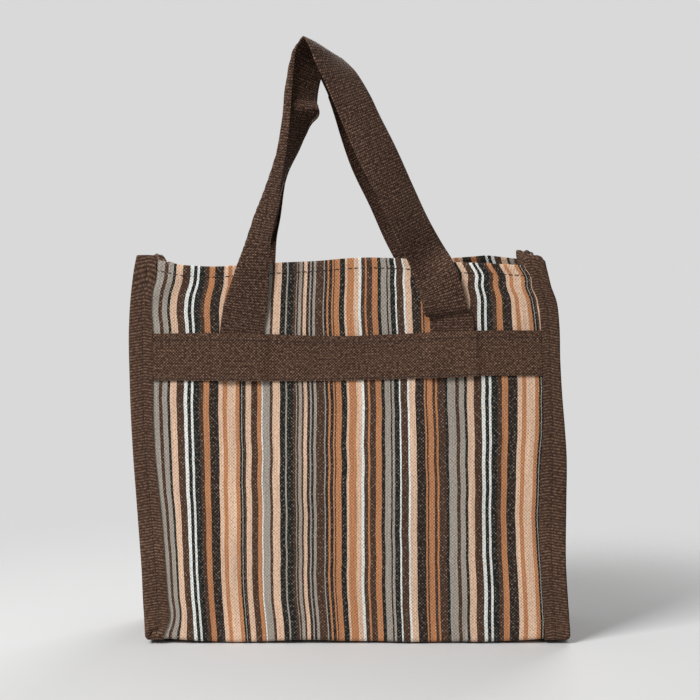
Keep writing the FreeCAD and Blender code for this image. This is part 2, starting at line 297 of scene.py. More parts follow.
# %% [markdown]
# Every piece here is a sheet: a grid of points, given a thickness.  `cloth` makes one from the grid,
# and from the place of each row and column on the flat cloth, which becomes the UV map in metres.  The
# weave is drawn on that map, so it bends and folds with the cloth.  Solidify thickens the sheet evenly
# to both sides and Bevel rounds its cut edges; both are then applied.

# %% Sheets of cloth
SOFT_EDGE = 0.3  # mm, or a quarter of a thinner cloth
CUT_EDGE, CREASE = math.radians(65), math.radians(48)  # sharper than this is a cut edge, or a crease


def cloth(name, grids, thickness, material):
    """One object from grids of (points in mm, u in mm per column or per point, v in mm per row)."""
    verts, faces, uvs = [], [], []
    for points, u, v in grids:
        points = np.asarray(points, float)
        rows, cols = points.shape[:2]
        start = sum(len(part) for part in verts)
        verts.append(points.reshape(-1, 3) * MM)
        flat = np.stack(np.broadcast_arrays(np.asarray(u, float), np.asarray(v, float)[:, None]), -1)
        index = np.arange(rows * cols).reshape(rows, cols)
        quads = np.stack([index[:-1, :-1], index[:-1, 1:], index[1:, 1:], index[1:, :-1]], -1).reshape(-1, 4)
        faces.append(quads + start)
        uvs.append(flat.reshape(-1, 2)[quads.ravel()] * MM)
    mesh = bpy.data.meshes.new(name)
    mesh.from_pydata(np.concatenate(verts).tolist(), [], np.concatenate(faces).tolist())
    layer = mesh.uv_layers.new(name="cloth")
    layer.data.foreach_set("uv", np.concatenate(uvs).ravel())
    mesh.materials.append(material)
    piece = put(name, mesh)
    area = sum(face.area for face in mesh.polygons)
    solid = piece.modifiers.new("thickness", "SOLIDIFY")
    solid.thickness = thickness * MM
    solid.offset = 0
    solid.use_even_offset = True
    edge = piece.modifiers.new("soft edges", "BEVEL")
    edge.width = min(SOFT_EDGE, thickness / 4) * MM
    edge.segments = 2
    edge.angle_limit = CUT_EDGE
    mesh = apply_modifiers(piece)
    mesh.polygons.foreach_set("use_smooth", [True] * len(mesh.polygons))
    mesh.set_sharp_from_angle(angle=CREASE)
    print(f"{name}: {len(mesh.polygons)} faces, {area * 1e4:.0f} cm2 of cloth")
    return piece


# %% [markdown]
# Colours are written as the hex values a dyer's chart would give, and one function turns them to the
# linear values that the shaders work in.  One more function adds a node, sets its values and makes its
# links.  The dictionaries under it only name the settings that come up again and again.

# %% Colour and node helpers
def linear(code, alpha=1.0):
    """An sRGB hex colour as linear RGBA."""
    channels = [int(code[i:i + 2], 16) / 255 for i in (1, 3, 5)]
    return [c / 12.92 if c <= 0.04045 else ((c + 0.055) / 1.055) ** 2.4 for c in channels] + [alpha]


def add(tree, kind, settings=None, **inputs):
    """Add a node.  An input is a value, or the node or output to link from; _0 means input 0."""
    node = tree.nodes.new(kind)
    for name, value in (settings or {}).items():
        setattr(node, name, value)
    for name, value in inputs.items():
        socket = node.inputs[int(name[1:])] if name[0] == "_" else node.inputs[name.replace("_", " ")]
        if isinstance(value, bpy.types.Node):
            value = next(output for output in value.outputs if output.enabled)
        if isinstance(value, bpy.types.NodeSocket):
            tree.links.new(value, socket)
        else:
            socket.default_value = value
    return node


def empty_material(name):
    """A material and its node tree, with no nodes yet."""
    material = bpy.data.materials.new(name)
    material.use_nodes = True
    material.node_tree.nodes.clear()
    return material, material.node_tree


MATH, RANGE, MIX = "ShaderNodeMath", "ShaderNodeMapRange", "ShaderNodeMix"
PLUS, MINUS, TIMES = {"operation": "ADD"}, {"operation": "SUBTRACT"}, {"operation": "MULTIPLY"}
TIMES_PLUS, SINE = {"operation": "MULTIPLY_ADD"}, {"operation": "SINE"}
DARKEN = {"data_type": "RGBA", "blend_type": "MULTIPLY"}
LIGHTEN = {"data_type": "RGBA", "blend_type": "ADD"}
print("a mid grey, #808080, is", round(linear("#808080")[0], 3), "in linear light")

# %% [markdown]
# Every cloth here is drawn from three things.  `crossing_threads` is the weave itself, a checker of soft
# dots.  `unevenness` is the chance in it: uneven yarn, dye and wear.  `matte_cloth` is the surface
# that both are put on, rough all over, with a raised weave and the faint bloom of loose fibres.

# %% What all the cloths share
def cloth_material(name):
    """A node material and its flat-cloth coordinates, u across and v along, in metres."""
    material, tree = empty_material(name)
    place = add(tree, "ShaderNodeUVMap", {"uv_map": "cloth"})
    split = add(tree, "ShaderNodeSeparateXYZ", _0=place)
    return material, tree, place, split.outputs[0], split.outputs[1]


def matte_cloth(tree, colour, height, relief, roughness, sheen):
    """A rough cloth surface with a raised weave: relief is the thread height in millimetres."""
    bump = add(tree, "ShaderNodeBump", Height=height, Distance=relief * MM, Strength=1.0)
    shader = add(tree, "ShaderNodeBsdfPrincipled", Base_Color=colour, Normal=bump,
                 Roughness=roughness, Sheen_Weight=sheen, Sheen_Roughness=0.6)
    shader.inputs["Specular IOR Level"].default_value = 0.12
    shader.inputs["Sheen Tint"].default_value = linear("#FFF4EA")
    add(tree, "ShaderNodeOutputMaterial", Surface=shader)


def thread_waves(tree, place, spacing):
    """A wave from -1 to 1, with a crest at every spacing in mm."""
    turns = add(tree, MATH, TIMES, _0=place, _1=2 * math.pi / (spacing * MM))
    return add(tree, MATH, SINE, _0=turns)


def crossing_threads(tree, u, v, across, up):
    """A checker of soft dots, from 0 to 1, as threads that pass over and under each other show."""
    both = add(tree, MATH, TIMES, _0=thread_waves(tree, u, across), _1=thread_waves(tree, v, up))
    return add(tree, MATH, TIMES_PLUS, _0=both, _1=0.5, _2=0.5)


def unevenness(tree, place, across, up, detail, low, high, reach=0.2):
    """Random patches from low to high, so many to the metre; a smaller reach sets them off more."""
    stretched = add(tree, "ShaderNodeMapping", Vector=place, Scale=(across, up, 1.0))
    patches = add(tree, "ShaderNodeTexNoise", Vector=stretched, Scale=1.0, Detail=detail)
    return add(tree, RANGE, Value=patches, _1=0.5 - reach, _2=0.5 + reach, _3=low, _4=high)


print("every pattern is drawn on the flat cloth, whose map is in metres")

# %% [markdown]
# The panels are yarn-dyed twill: the stripes aren't printed but woven, from warp threads wound in
# bands of seven colours, over one fawn weft.  So they run the whole height, and repeat every 277 mm.
# Each stripe is written as a colour letter and its width in millimetres.

# %% Order of the stripes
WARP = {"G": "#A8A299", "B": "#4A3224", "K": "#141918", "P": "#E8C6AB", "T": "#C4875C", "W": "#F2F9F7",
        "D": "#291E18"}
STRIPES = ("G7.4 B3.4 G5 K2.8 P6.5 B7.4 W3.4 K3.4 W2.2 K6 B4 T5.7 D9.4 P4.3 T4.3 P8.2 T3.9 K1.8 G0.9 "
           "K1.5 B1.8 P5.5 B6 T4.5 W1 G7 B2.5 P7.5 K5.5 G1.5 K6 B2.5 G1 B2 G3 B2 P3.5 D2.5 G1.5 D2.5 "
           "G2.5 B8 G1.2 D2.8 T1.8 D3 T1.5 B1.3 T5.2 K5.5 P2.5 T7 P5 W3 B3.5 T2 B6 T5.5 K3.5 G6 D1.5 G2 "
           "K5 W1.8 B6.7 W2 P6 D8.8 T1.8 B1.6 T5.4 B2.4 T1.9 B7.6 K2.7").split()
REPEAT = 276.6  # mm
RAMPS = 3
widths = np.array([float(stripe[1:]) for stripe in STRIPES])
ends = np.cumsum(widths) / widths.sum()
BANDS = list(zip(ends - widths / widths.sum(), ends, [stripe[0] for stripe in STRIPES]))
print(f"{len(BANDS)} stripes, {widths.sum():.0f} mm as written, woven into {REPEAT} mm")

# %% [markdown]
# A stepped colour ramp turns a place across the cloth into a stripe.  One ramp holds 32 stops at most,
# so three of them share the repeat.  A stripe's edge is ragged by a thread, and the whole stripe
# wanders a little where the cloth has crept in the wash and the hand.

# %% Stripes
def stripe_ramp(tree, place, number):
    """One third of the stripes as a stepped colour ramp."""
    low, high = number / RAMPS, (number + 1) / RAMPS
    third = add(tree, MATH, TIMES_PLUS, _0=place, _1=float(RAMPS), _2=-float(number))
    ramp = add(tree, "ShaderNodeValToRGB", Fac=third)
    stops = ramp.color_ramp
    stops.interpolation = "CONSTANT"
    stops.elements.remove(stops.elements[1])
    shown = [(max(0.0, (a - low) * RAMPS), colour) for a, b, colour in BANDS if b > low and a < high]
    for i, (position, colour) in enumerate(shown):
        stop = stops.elements[0] if i == 0 else stops.elements.new(position)
        stop.position = position
        stop.color = linear(WARP[colour])
    return ramp


def striped(tree, place, u, start):
    """Colour of the stripes, with the repeat starting at this place across, in mm."""
    ragged = unevenness(tree, place, 1400.0, 500.0, 1.0, -0.35 * MM, 0.35 * MM, 0.5)
    creep = unevenness(tree, place, 9.0, 24.0, 1.0, -1.5 * MM, 1.5 * MM, 0.5)
    moved = add(tree, MATH, PLUS, _0=add(tree, MATH, PLUS, _0=u, _1=ragged), _1=creep)
    repeats = add(tree, MATH, TIMES_PLUS, _0=moved, _1=1 / (REPEAT * MM), _2=-start / REPEAT)
    repeat = add(tree, MATH, {"operation": "FRACT"}, _0=repeats)
    colour = stripe_ramp(tree, repeat, 0)
    for number in range(1, RAMPS):
        past = add(tree, MATH, {"operation": "GREATER_THAN"}, _0=repeat, _1=number / RAMPS)
        colour = add(tree, MIX, {"data_type": "RGBA"}, _0=past, _6=colour,
                     _7=stripe_ramp(tree, repeat, number))
    return colour


print(f"{RAMPS} ramps share {len(BANDS)} stripes")

# %% [markdown]
# On the stripes lies the weave.  Warp threads differ from their neighbours all along their length.  The
# weft peeps through as a fine checker that shows dark on the light stripes and light on the dark ones,
# stronger and weaker as the yarn thickens and thins.  The real one is finer than 2 mm; it is drawn at
# 3.1 mm, coarser than life, so that it shows at all.

# %% Yarn-dyed striped twill
FLOAT = 3.1  # mm from one show of the weft to the next
WEFT_SHADE, WEFT_GLINT = "#B09D8E", "#B3A698"


def striped_twill(name, start, mirrored=False):
    """The striped cloth, with its repeat starting at this place across, in mm."""
    material, tree, place, u, v = cloth_material(name)
    if mirrored:
        u = add(tree, MATH, TIMES, _0=u, _1=-1.0)
    colour = striped(tree, place, u, start)
    warp = unevenness(tree, place, 1300.0, 18.0, 2.0, 0.0, 1.0, 0.5)
    light = add(tree, RANGE, Value=warp, _1=0.3, _2=0.7, _3=0.80, _4=1.16)
    colour = add(tree, MIX, DARKEN, _0=1.0, _6=colour, _7=light)
    dots = crossing_threads(tree, u, v, FLOAT, FLOAT)
    strength = unevenness(tree, place, 380.0, 380.0, 3.0, 0.2, 1.0, 0.12)
    shown = add(tree, MATH, TIMES, _0=dots, _1=strength)
    colour = add(tree, MIX, DARKEN, _0=shown, _6=colour, _7=linear(WEFT_SHADE))
    bare = add(tree, MATH, TIMES, _0=add(tree, MATH, MINUS, _0=1.0, _1=dots), _1=strength)
    gleam = add(tree, MATH, {"operation": "POWER"}, _0=bare, _1=3.0)
    glints = add(tree, MATH, TIMES, _0=gleam, _1=0.8)
    colour = add(tree, MIX, LIGHTEN, _0=glints, _6=colour, _7=linear(WEFT_GLINT))
    # Handling leaves the cloth a shade uneven over centimetres.
    wear = unevenness(tree, place, 22.0, 12.0, 2.0, 0.92, 1.05)
    colour = add(tree, MIX, DARKEN, _0=1.0, _6=colour, _7=wear)
    height = add(tree, MATH, TIMES_PLUS, _0=dots, _1=-0.6, _2=warp)
    matte_cloth(tree, colour, height, 0.2, 0.86, 0.06)
    print(f"{name}: weft shows every {FLOAT} mm")
    return material


REPEAT_START = -182.6
front_twill = striped_twill("yarn_dyed_twill_front", REPEAT_START)
back_twill = striped_twill("yarn_dyed_twill_back", REPEAT_START, mirrored=True)
base_twill = striped_twill("yarn_dyed_twill_base", REPEAT_START)

# %% [markdown]
# The gussets, bands and handles are all brown, but not the same cloth.  The gussets are canvas with
# faint ribs, the bands a flat basket weave, and the handles heavy webbing with ribs across it.  One
# function makes them all: `rib` is the spacing of the threads along the cloth, `dash` the spacing
# across it, `ribbed` how much the ribs stand out from the dots, and `slant` turns the ribs either side
# of a seam, where the stitching pulls them.  The spacings are about a third coarser than life, so that
# the threads show.

# %% Brown weaves
def brown_weave(name, rib, dash, ribbed, slant, seam, shades, relief, roughness):
    """A woven brown cloth; sizes in mm, shades from dark to light as hex."""
    material, tree, place, u, v = cloth_material(name)
    drift = unevenness(tree, place, 90.0, 90.0, 2.0, -0.8 * MM, 0.8 * MM, 0.5)
    from_middle = add(tree, MATH, {"operation": "ABSOLUTE"}, _0=u)
    from_seam = add(tree, MATH, MINUS, _0=from_middle, _1=seam * MM)
    beside_seam = add(tree, MATH, {"operation": "ABSOLUTE"}, _0=from_seam)
    lean = add(tree, MATH, TIMES_PLUS, _0=beside_seam, _1=slant, _2=drift)
    run = add(tree, MATH, PLUS, _0=v, _1=lean)
    dots = crossing_threads(tree, u, run, dash, rib)
    ribs = add(tree, MATH, TIMES_PLUS, _0=thread_waves(tree, run, rib), _1=0.5, _2=0.5)
    weave = add(tree, MIX, {"data_type": "FLOAT"}, _0=ribbed, _2=dots, _3=ribs)
    fibre = unevenness(tree, place, 420.0, 420.0, 3.0, 0.25, 1.45)
    ramp = add(tree, "ShaderNodeValToRGB", Fac=add(tree, MATH, TIMES, _0=weave, _1=fibre))
    stops = ramp.color_ramp.elements
    stops[0].color, stops[1].color = linear(shades[0]), linear(shades[2])
    stops.new(0.42).color = linear(shades[1])
    cloud = unevenness(tree, place, 30.0, 16.0, 3.0, 0.84, 1.12)
    colour = add(tree, MIX, DARKEN, _0=1.0, _6=ramp, _7=cloud)
    matte_cloth(tree, colour, weave, relief, roughness, 0.04)
    print(f"{name}: ribs every {rib} mm, threads every {dash} mm")
    return material


# %% Brown canvas, band, webbing, tape and thread
# Polyester canvas: matt and speckled, with faint ribs that lean away from the stitching.
canvas = brown_weave("ribbed_brown_canvas", 2.7, 2.5, 0.62, 0.2, 75.0,
                     ("#2F1D15", "#4E382C", "#826754"), 0.35, 0.84)
# Basket-weave band: flatter, an even dotted grid.
basket = brown_weave("basket_weave_brown_band", 2.8, 2.8, 0.15, 0.0, 0.0,
                     ("#2D1B13", "#4A3428", "#8F725E"), 0.35, 0.82)
# Polypropylene webbing: thick yarn, deep ribs, a slight shine on each dash.
webbing = brown_weave("polypropylene_webbing", 2.6, 2.5, 0.4, 0.0, 0.0,
                      ("#1D100A", "#3F2A1F", "#886C5A"), 0.5, 0.72)
# Seam binding: narrow dark tape over the raw edges inside.
tape = brown_weave("woven_binding_tape", 1.9, 1.9, 0.3, 0.0, 0.0,
                   ("#241812", "#3A2A20", "#54433A"), 0.2, 0.88)
print("brown cloths:", ", ".join(kind.name for kind in (canvas, basket, webbing, tape)))


# %% Sewing thread
def sewing_thread(name, code):
    """Twisted polyester thread: a shade darker than the canvas, with a dull gleam."""
    material, tree = empty_material(name)
    place = add(tree, "ShaderNodeTexCoord")
    twist = add(tree, "ShaderNodeTexWave", {"bands_direction": "DIAGONAL"}, Vector=place.outputs["Object"],
                Scale=620.0, Distortion=1.0)
    tone = add(tree, RANGE, Value=twist.outputs["Fac"], _3=0.7, _4=1.2)
    colour = add(tree, MIX, DARKEN, _0=1.0, _6=linear(code), _7=tone)
    bump = add(tree, "ShaderNodeBump", Height=twist.outputs["Fac"], Distance=0.05 * MM)
    shader = add(tree, "ShaderNodeBsdfPrincipled", Base_Color=colour, Normal=bump, Roughness=0.75)
    add(tree, "ShaderNodeOutputMaterial", Surface=shader)
    return material


thread = sewing_thread("twisted_polyester_thread", "#25150D")
print("thread:", thread.name)

# %% [markdown]
# A panel is one sheet: its lower edge turns in under the base, it rolls round the bottom edge, stands
# up, and turns over at the rim into a hem, all without a cut.  The gussets do the same, one ply further
# out, so both start from one list of (how far in from the outer face, height).

# %% Profile of a standing sheet
def standing_profile(inside, centre, margin, top):
    """Rows of a sheet, from its margin under the base up to where it has turned over at the rim."""
    radius = centre - inside
    rows = [(centre + m, EDGE_CENTRE - radius) for m in steps(margin, 2.0, 3.0)]
    rows += [(centre - radius * math.cos(a), EDGE_CENTRE - radius * math.sin(a))
             for a in np.linspace(math.pi / 2, 0, 7)]
    rows += [(inside, z) for z in steps(EDGE_CENTRE, 27, 1.6)[1:]]
    rows += [(inside, z) for z in steps(27, top - TURN, 3.0)[1:]]
    rows += [(inside + TURN * (1 - math.cos(a)), top - TURN + TURN * math.sin(a))
             for a in np.linspace(0, math.pi, 6)[1:]]
    return rows


panel_profile = standing_profile(CLOTH / 2, EDGE_CENTRE - CANVAS - PLY_GAP, 10.0, HEIGHT)
panel_profile += [(CLOTH / 2 + 2 * TURN, z) for z in steps(HEIGHT - TURN, HEIGHT - HEM, 3.0)[1:]]
panel_profile = np.array(panel_profile)
panel_length = along(panel_profile)
print(f"a panel is cut {panel_length[-1]:.0f} mm long")

# %% [markdown]
# The front and back panels share that profile; only the back one's stripes are turned round.  Loosely
# woven cloth never hangs with its warp quite upright: near the rim and beside the handles the front's
# threads have crept sideways by a few millimetres, which shows as bends in its stripes.

# %% Front and back panels
PANEL_HALF = 199.0
# Where the warp has crept: place across and up, how wide and tall, and how far, all in millimetres.
CREEP = [(-130, 345, 60, 35, -3.0), (10, 340, 45, 40, 2.2), (120, 300, 70, 28, 3.6), (171, 342, 12, 30, 1.5),
         (150, 60, 55, 90, -1.7), (118, 350, 30, 20, -4.6), (88, 240, 35, 45, 1.2), (165, 240, 30, 30, -1.0),
         (-115, 42, 60, 20, 1.3)]
columns = steps(-PANEL_HALF, PANEL_HALF, 3.0)


def panel(name, side, material):
    """side is -1 for the front and 1 for the back."""
    inset, z = panel_profile[:, 0], panel_profile[:, 1]
    x, z = np.meshgrid(columns, z)
    y = side * (half_depth(z) - inset[:, None])
    u = x.copy()
    for middle, level, wide, tall, shift in CREEP:
        if side < 0:
            u += shift * np.exp(-((x - middle) / wide) ** 2 / 2 - ((z - level) / tall) ** 2 / 2)
    return cloth(name, [(settle(x, y, z), u, panel_length)], CLOTH, material)


front_panel = panel("front_panel_cloth", -1, front_twill)
back_panel = panel("back_panel_cloth", 1, back_twill)

# %% [markdown]
# The base is a flat piece of the same cloth, sewn in between the panels.  A plane with a thickness
# would do, but a grid can follow what is under it: it rests on the turned-in margins of the panels and
# sags to the floor inside them.

# %% Base
BASE_ON_MARGIN, BASE_SAG = 3.35, 2.6


def base_height(x, y):
    """Height of the base's middle ply: on the margins at its edges, on the floor inside them."""
    inside = np.minimum(60.0 - np.abs(y), 201.0 - np.abs(x))
    return BASE_ON_MARGIN - BASE_SAG * smooth((inside - 15) / 14)


base_x, base_y = steps(-200, 200, 4.0), steps(-58.8, 58.8, 3.0)
grid_x, grid_y = np.meshgrid(base_x, base_y)
base_points = settle(grid_x, grid_y, base_height(grid_x, grid_y))
base = cloth("base_cloth", [(base_points, base_x, base_y)], CLOTH, base_twill)

# %% [markdown]
# Each gusset is one piece of canvas: a strip sewn flat on the front, round the corner, in to a pleat
# and out again, and a strip on the back.  Seen from above that is a path with three corners.  The
# corners are rounded, each by the same number of points, so that all the rings match up into a grid.

# %% Gussets: plan of the cloth at a height
RUN_STEPS, CORNER_STEPS = 16, 6


def pleat_depth(z):
    """The gusset's cloth is equally deep at all heights, so it folds in as the mouth narrows."""
    return math.sqrt(max(half_depth(12.0) ** 2 - half_depth(z) ** 2, 0.0))


def gusset_path(z, inset):
    """Plan of the right gusset, this far inside its outer face: five points."""
    outer = half_depth(z) + PLY_GAP + CANVAS
    fold = HALF_WIDTH - pleat_depth(z)
    path = np.array([(STRIP_EDGE, -outer), (HALF_WIDTH, -outer), (fold, 0.0), (HALF_WIDTH, outer),
                     (STRIP_EDGE, outer)])
    run = unit(np.diff(path, axis=0))
    normal = np.stack([-run[:, 1], run[:, 0]], -1)
    moved = []
    for i, point in enumerate(path):
        mean = (normal[max(i - 1, 0)] + normal[min(i, len(normal) - 1)]) / 2
        moved.append(point + mean * inset / (mean @ mean))
    return np.array(moved)


def rounded(path, cuts):
    """The path with each inner corner cut back and rounded, always with the same number of points."""
    run, arc = (np.linspace(0, 1, count + 1)[:-1, None] for count in (RUN_STEPS, CORNER_STEPS))
    lines, start = [], path[0]
    for before, corner, after, back in zip(path, path[1:], path[2:], cuts):
        a, b = corner + unit(before - corner) * back, corner + unit(after - corner) * back
        lines.append(start + (a - start) * run)
        lines.append((1 - arc) ** 2 * a + 2 * arc * (1 - arc) * corner + arc * arc * b)
        start = b
    return np.concatenate(lines + [start + (path[-1] - start) * run, path[-1:]])


def gusset_ring(z, inset):
    return rounded(gusset_path(z, inset), (3.0, 5.0, 3.0))


half_way = gusset_ring(200.0, CANVAS / 2)
gusset_columns, gusset_u = len(half_way), along(half_way)
gusset_u = gusset_u - gusset_u[-1] / 2
print(f"a gusset is cut {gusset_u[-1] * 2:.0f} mm wide; {gusset_columns} points round")

# %% [markdown]
# The gusset rolls under at the base and turns over at its top, as the panels do.  On the strips only a
# few millimetres can turn over, because the panel's rim is right behind them, so the hem's depth
# changes from column to column.

# %% Gussets: the straight canvas
WALL = half_depth(GUSSET_TOP) - 5.0  # nearer the middle than this is the wall, further out the strips
STRIP_HEM = 2.6


def straight_gusset():
    """Rings of the right gusset's canvas, from its margin under the base to the end of its hem."""
    rings = [np.column_stack([gusset_ring(z, inset), np.full(gusset_columns, z)])
             for inset, z in standing_profile(CANVAS / 2, EDGE_CENTRE, 9.0, GUSSET_TOP)]
    for share in np.linspace(0, 1, 8)[1:]:
        hem = np.where(np.abs(rings[-1][:, 1]) < WALL, HEM, STRIP_HEM) - TURN
        levels = GUSSET_TOP - TURN - share * hem
        ring = [gusset_ring(z, CANVAS / 2 + 2 * TURN)[column] for column, z in enumerate(levels)]
        rings.append(np.column_stack([ring, levels]))
    return np.array(rings)


straight_canvas = straight_gusset()
print(f"{len(straight_canvas)} rings of canvas from margin to hem")

# %% [markdown]
# Above the rim the canvas stands free: it dips towards the pleat on the left, stands up on the right,
# and crumples a little.  The thread pulls a groove down each strip, the wall buckles in a few soft folds
# where it stands on its base, and each side has a corner that has lost its point.

# %% Gussets: the two sheets
STITCH_LINE = 190.0
# Lift of the free edge from the front corner (-1) past the pleat (0) to the back corner (1).
GUSSET_LIFT = {1: [(-1, 1.2), (-0.8, 0.6), (-0.5, 0.0), (-0.2, 1.8), (0, 3.2), (0.4, 3.0), (1, 0.8)],
               -1: [(-1, -3.0), (-0.88, -3.2), (-0.7, -1.4), (-0.58, -1.8), (-0.4, -6), (0, -14),
                    (0.4, -6), (0.7, -0.8), (1, -1.8)]}


def soften(points, side):
    """The right gusset's canvas as it hangs on this side: 1 for the right and -1 for the left."""
    x, y, z = np.moveaxis(points, -1, 0)
    free = smooth((z - 322) / 40)
    z = z + free * follow(GUSSET_LIFT[side], y / half_depth(GUSSET_TOP))
    on_strip = smooth((np.abs(y) - WALL) / 3) * (1 - smooth((z - 350) / 4))
    y = y - np.sign(y) * 0.5 * on_strip * np.exp(-((x - STITCH_LINE) / 1.3) ** 2)
    crumple = smooth((z - 270) / 92) * smooth((50 - np.abs(y)) / 12)
    x = x + crumple * (1.3 * np.sin(y / 2.9 + z / 40) + 0.9 * np.sin(y / 7.3 - z / 23 + side))
    z = z + crumple * 0.9 * np.sin(y / 4.1 + 2 * side)
    wave = np.exp(-((z - 235) / 26) ** 2) * 1.5 * np.sin((y + 0.35 * (z - 235)) / 13.0 + side)
    wave = wave + np.exp(-((z - 110) / 50) ** 2) * 1.7 * np.cos((y - 0.2 * (z - 110)) / 17.0 + 2 * side)
    wave = wave - np.exp(-((z - 30) / 22) ** 2) * 1.1 * np.cos(y / 15.0)
    x = x + wave * smooth((50 - np.abs(y)) / 16)
    if side < 0:
        # The left strip's back corner stands up a little and then slopes down to the panel.
        flap = 1.2 + 1.2 * np.exp(-((x - 195) / 5) ** 2) - 7.0 * smooth((190 - x) / 9)
        z = z + flap * free * smooth((y - WALL) / 3)
    else:
        # The right strip's front corner is rounded off.
        z = z - 3.0 * free * smooth((x - 193) / 10) * smooth((-y - WALL) / 3)
    return settle(side * x, y, z)


def gusset(name, side):
    points = soften(straight_canvas, side)
    length = along(points[:, gusset_columns // 2])
    return cloth(name, [(points, gusset_u, length)], CANVAS, canvas)


right_gusset = gusset("right_gusset_canvas", 1)
left_gusset = gusset("left_gusset_canvas", -1)

# %% [markdown]
# Inside, narrow tape covers the raw edges of the corner seams and of the base.  A curve with a flat
# profile could run along each seam.  A narrow grid is as easy and, as it goes through `settle` too, it
# stays on its seam wherever the bag bends.

# %% Seam bindings
BEHIND_FACE = CLOTH + 0.25 + TAPE / 2      # from the outside of a face to the middle of the tape
ABOVE_BASE = CLOTH / 2 + 0.15 + TAPE / 2   # from the middle of the base to the middle of the tape


def corner_binding(name, side_x, side_y):
    x, z = np.meshgrid(steps(186.2, 198.2, 2.0), steps(6.0, 333.6, 4.0))
    y = side_y * (half_depth(z) - BEHIND_FACE - 0.15 * np.sin(z / 9 + side_x))
    return cloth(name, [(settle(side_x * x, y, z), x[0], z[:, 0])], TAPE, tape)


bindings = {}
for face, side_y in (("front", -1), ("back", 1)):
    for hand, side_x in (("left", -1), ("right", 1)):
        node = f"{face}_{hand}_binding"
        bindings[node] = corner_binding(node + "_tape", side_x, side_y)


def base_strip(x_range, y_range):
    x_line, y_line = steps(*x_range, 4.0), steps(*y_range, 3.0)
    x, y = np.meshgrid(x_line, y_line)
    points = settle(x, y, base_height(x, y) + ABOVE_BASE)
    if len(x_line) > len(y_line):
        return points, x_line, y_line
    return points.transpose(1, 0, 2)[:, ::-1], y_line[::-1], x_line


base_binding = cloth("base_binding_tape", [
    base_strip((-198, 198), (-58.4, -46.6)),
    base_strip((-198, 198), (46.6, 58.4)),
    base_strip((-198, -186), (-46.2, 46.2)),
    base_strip((186, 198), (-46.2, 46.2)),
], TAPE, tape)

# %% [markdown]
# A band crosses each face and hides the ends of the handle.  It is flat on the panel except where it
# rides up over the webbing.  Its long edges are turned under, which makes them a little thicker, and
# the thread pulls a slight groove along each stitch line.

# %% Bands
BAND_STITCHES = (BAND_HIGH - 6.5, BAND_LOW + 2.0)
TURNED_EDGE, GROOVE, RIPPLE = 0.45, 0.4, 0.25


def band_proud(x):
    """How far the band's middle ply stands out from the panel."""
    over_tail = smooth((STRAP_WIDTH / 2 + 6.5 - np.abs(np.abs(x) - STRAP_MIDDLE)) / 5.0)
    return PLY_GAP + BAND_CLOTH / 2 + (STRAP + 0.3) * over_tail


def band_surface(x, z):
    """Band's middle ply with its turned edges and stitch grooves."""
    turned = smooth((z - BAND_HIGH + 8.5) / 1.5) + smooth((BAND_LOW + 4.0 - z) / 1.5)
    grooves = sum(np.exp(-((z - line) / 0.9) ** 2) for line in BAND_STITCHES)
    ripple = RIPPLE * np.sin(x / 9.0 + z / 6.0) * np.sin(x / 31.0) * smooth((z - BAND_LOW) / 6)
    return band_proud(x) + TURNED_EDGE * turned - GROOVE * grooves + ripple + RIPPLE


def band(name, side):
    x_line = steps(-180.7, 180.7, 2.5)
    low, high = BAND_LOW + 6.0, BAND_HIGH - 9.5
    z_line = np.concatenate([steps(BAND_LOW, low, 0.85), steps(low, high, 2.5)[1:],
                             steps(high, BAND_HIGH, 0.85)[1:]])
    x, z = np.meshgrid(x_line, z_line)
    y = side * (half_depth(z) + band_surface(x, z))
    return cloth(name, [(settle(x, y, z), x_line, z_line)], BAND_CLOTH, basket)


front_band = band("front_band_cloth", -1)
back_band = band("back_band_cloth", 1)

# %% [markdown]
# A handle is one length of webbing.  Both its ends lie under the band; between them it rises, leans in
# and hangs over a hook, so its width turns on the way.  The left leg also folds on itself lengthwise:
# part of its width faces forward and the rest turns back behind it.  A curve with a tilt could sweep a
# flat section, but not one that folds.  So each station below gives the inner edge's place, the
# direction from there across the webbing, and how much of the width still faces forward.

# %% Handle stations
def tail_y(z):
    """Middle of the webbing where it lies on the panel."""
    return -(half_depth(z) + 0.3 + STRAP / 2)


